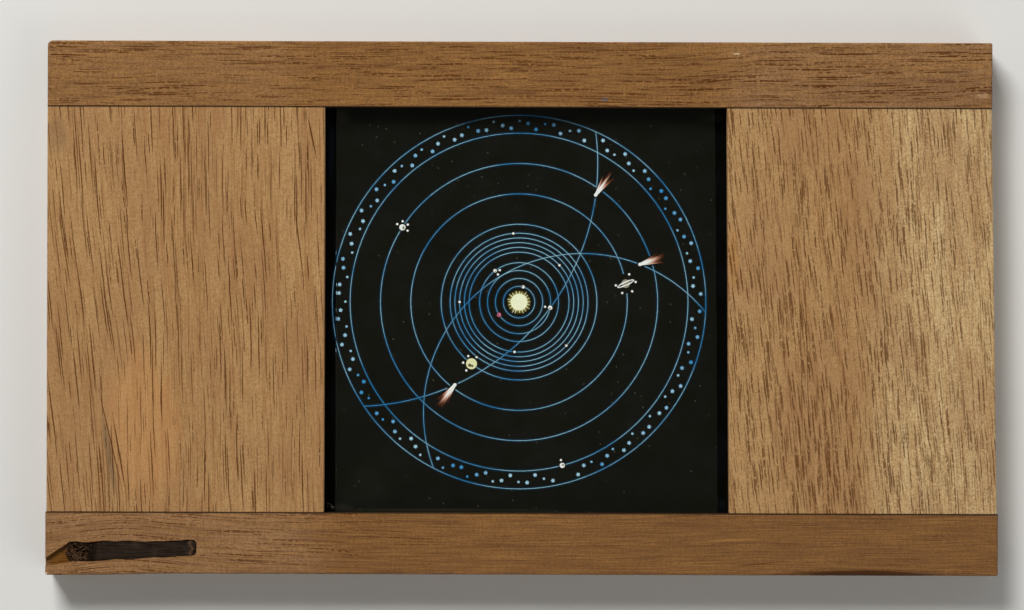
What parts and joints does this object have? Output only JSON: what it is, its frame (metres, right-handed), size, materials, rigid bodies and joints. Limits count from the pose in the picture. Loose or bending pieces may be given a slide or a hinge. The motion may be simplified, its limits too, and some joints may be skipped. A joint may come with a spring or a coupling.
{
  "type": "magic lantern slide",
  "caption": "Wooden-framed magic lantern slide: rails and end boards joined by tongue and groove round a square opening that holds a tinted solar-system chart behind a cover glass.",
  "frame": {"origin": "centre of the bounding box in plan, on the back face that the slide lies on", "axes": "+X along the rails to the picture's right, +Y up the picture, +Z out of the slide's front"},
  "size_m": [0.18, 0.101, 0.0095],
  "materials": {
    "rail_wood": "worn waxed hardwood, brown",
    "board_wood": "worn waxed hardwood, golden brown",
    "board_wood_pale": "worn waxed hardwood, paler at one side",
    "knot_wood": "rough dark branch wood",
    "glass": "clear, slightly dusty",
    "black_film": "black photographic layer",
    "blue_tint": "thin blue tint",
    "star_tint": "thin pale blue tint",
    "yellow_tint": "thin yellow tint",
    "pale_tint": "thin pale tints",
    "comet_tint": "thin white and reddish tints",
    "black_paper": "thin black paper"
  },
  "bodies": {
    "root": {"top_rail": "rail_wood", "bottom_rail": "rail_wood", "left_end_board": "board_wood", "right_end_board": "board_wood_pale", "spike_knot": "knot_wood", "picture_glass": "glass", "picture_film": "black_film", "orbit_tints": "blue_tint", "star_tints": "star_tint", "sun_tint": "yellow_tint", "planet_tints": "pale_tint", "comet_tints": "comet_tint", "top_spacer": "black_paper", "bottom_spacer": "black_paper", "cover_glass": "glass"}
  },
  "joints": []
}
